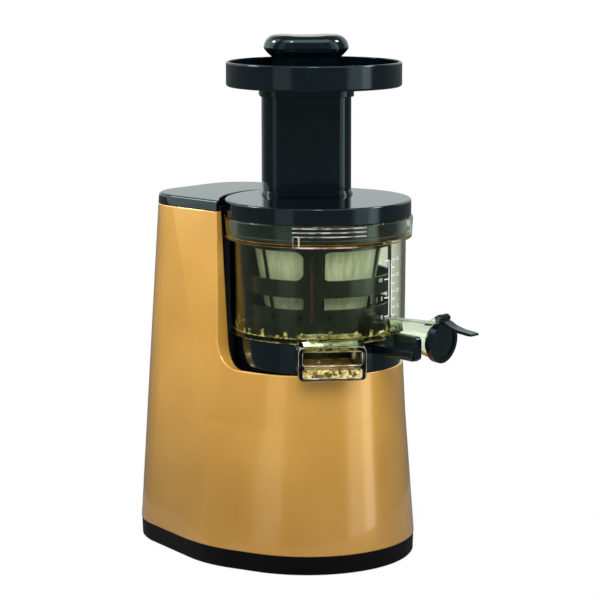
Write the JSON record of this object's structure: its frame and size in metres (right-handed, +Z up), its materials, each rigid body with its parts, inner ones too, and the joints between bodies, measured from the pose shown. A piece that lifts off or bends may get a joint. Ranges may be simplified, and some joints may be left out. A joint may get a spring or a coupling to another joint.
{
  "type": "cold press juicer",
  "caption": "Upright cold press juicer: gold tapered motor base with a smoky clear juicing bowl, black lid, feed tube, tray and pusher.",
  "frame": {"origin": "on the table, below the middle of the juicer's bounding box", "axes": "+Z up, -Y out along the juice spout, which is the juicer's front, +X to the right seen from the front"},
  "size_m": [0.1744, 0.3068, 0.3977],
  "materials": {
    "shell": "pearlescent gold, high gloss",
    "gloss_black": "high gloss",
    "smoky": "clear, tinted smoky brown, polished",
    "base_black": "matt",
    "cage": "satin",
    "steel": "ground",
    "screen": "perforated sheet, satin",
    "gear": "natural",
    "box": "matt",
    "copper": "enamelled wire",
    "iron": "laminated sheet",
    "rubber": "matt",
    "silicone": "satin",
    "board": "lacquered",
    "auger": "satin"
  },
  "bodies": {
    "base": {"base_cover": "base_black", "rubber_feet": "rubber", "body_shell": "shell", "rear_cap": "gloss_black", "bowl_cradle": "gloss_black", "gearbox_housing": "box", "gearbox_cover": "box", "gear_axles": "steel", "shaft_bearings": "steel", "shaft_seal": "rubber", "motor_housing": "steel", "motor_end_bell": "steel", "motor_bearings": "steel", "stator_core": "iron", "stator_windings": "copper", "control_board": "board", "capacitor": "steel", "lid_sensor": "base_black", "switch_housing": "base_black", "cord_gland": "rubber", "base_screws": "steel", "gearbox_screws": "steel", "motor_screws": "steel"},
    "rotor": {"motor_shaft": "steel", "rotor_core": "iron", "motor_pinion": "steel", "cooling_fan": "base_black"},
    "first_gear": {"gear_one": "gear"},
    "second_gear": {"gear_two": "gear"},
    "output_shaft": {"drive_shaft": "steel", "output_gear": "gear"},
    "rocker": {"switch_rocker": "gloss_black"},
    "bowl_set": {"bowl": "smoky", "bowl_rim": "smoky", "pulp_chute": "smoky", "juice_spout": "smoky", "bowl_skirt": "gloss_black", "bowl_seal": "silicone", "idler_pin": "steel", "strainer_frame": "cage", "strainer_screen": "screen", "pulp_plug": "silicone", "lever_pin": "steel", "cap_pin": "steel"},
    "lever": {"control_lever": "gloss_black"},
    "spout_cap": {"juice_cap": "smoky", "cap_lever": "gloss_black", "cap_seal": "silicone"},
    "brush": {"brush_frame": "cage", "brush_wipers": "silicone"},
    "idler": {"idler_gear": "gear"},
    "screw": {"auger": "auger"},
    "lid_set": {"lid": "gloss_black", "lid_seal": "silicone", "lid_magnet": "iron"},
    "tray": {"hopper_tray": "gloss_black"},
    "pusher": {"pusher_shaft": "gloss_black", "pusher_head": "gloss_black"}
  },
  "joints": [
    {"name": "bowl_lift", "type": "slide", "parent": "base", "child": "bowl_set", "axis": [0, 0, 1], "range_m": [0, 0.12]},
    {"name": "auger_spin", "type": "hinge", "parent": "bowl_set", "child": "screw", "pos_m": [0, -0.00458, 0], "axis": [0, 0, 1], "continuous": true},
    {"name": "brush_spin", "type": "hinge", "parent": "bowl_set", "child": "brush", "pos_m": [0, -0.00458, 0], "axis": [0, 0, 1], "continuous": true},
    {"name": "idler_spin", "type": "hinge", "parent": "bowl_set", "child": "idler", "pos_m": [-0.01865, 0.01281, 0], "axis": [0, 0, 1], "continuous": true},
    {"name": "shaft_spin", "type": "hinge", "parent": "base", "child": "output_shaft", "pos_m": [0, -0.00458, 0], "axis": [0, 0, 1], "continuous": true},
    {"name": "second_gear_spin", "type": "hinge", "parent": "base", "child": "second_gear", "pos_m": [-0.027, 0.02759, 0], "axis": [0, 0, 1], "continuous": true},
    {"name": "first_gear_spin", "type": "hinge", "parent": "base", "child": "first_gear", "pos_m": [-0.00998, 0.0596, 0], "axis": [0, 0, 1], "continuous": true},
    {"name": "motor_spin", "type": "hinge", "parent": "base", "child": "rotor", "pos_m": [0.00006, 0.09051, 0], "axis": [0, 0, 1], "continuous": true},
    {"name": "lid_turn", "type": "hinge", "parent": "bowl_set", "child": "lid_set", "pos_m": [0, -0.00458, 0], "axis": [0, 0, 1], "range_deg": [0, 25]},
    {"name": "tray_lift", "type": "slide", "parent": "lid_set", "child": "tray", "axis": [0, 0, 1], "range_m": [0, 0.05]},
    {"name": "pusher_slide", "type": "slide", "parent": "tray", "child": "pusher", "axis": [0, 0, 1], "range_m": [0, 0.11]},
    {"name": "cap_flip", "type": "hinge", "parent": "bowl_set", "child": "spout_cap", "pos_m": [0, -0.12423, 0.19623], "axis": [-1, 0, 0], "range_deg": [0, 100]},
    {"name": "lever_swing", "type": "hinge", "parent": "bowl_set", "child": "lever", "pos_m": [-0.0099, -0.06072, 0], "axis": [0, 0, -1], "range_deg": [0, 15]},
    {"name": "rocker_tip", "type": "hinge", "parent": "base", "child": "rocker", "pos_m": [0, 0.14402, 0.06174], "axis": [1, 0, 0], "range_deg": [0, 24]}
  ],
  "couplings": [
    {"joint": "shaft_spin", "follows": "auger_spin", "ratio": 1},
    {"joint": "second_gear_spin", "follows": "auger_spin", "ratio": -3},
    {"joint": "first_gear_spin", "follows": "auger_spin", "ratio": 10.385},
    {"joint": "motor_spin", "follows": "auger_spin", "ratio": -41.538},
    {"joint": "brush_spin", "follows": "auger_spin", "ratio": -0.36},
    {"joint": "idler_spin", "follows": "auger_spin", "ratio": -1.125}
  ]
}
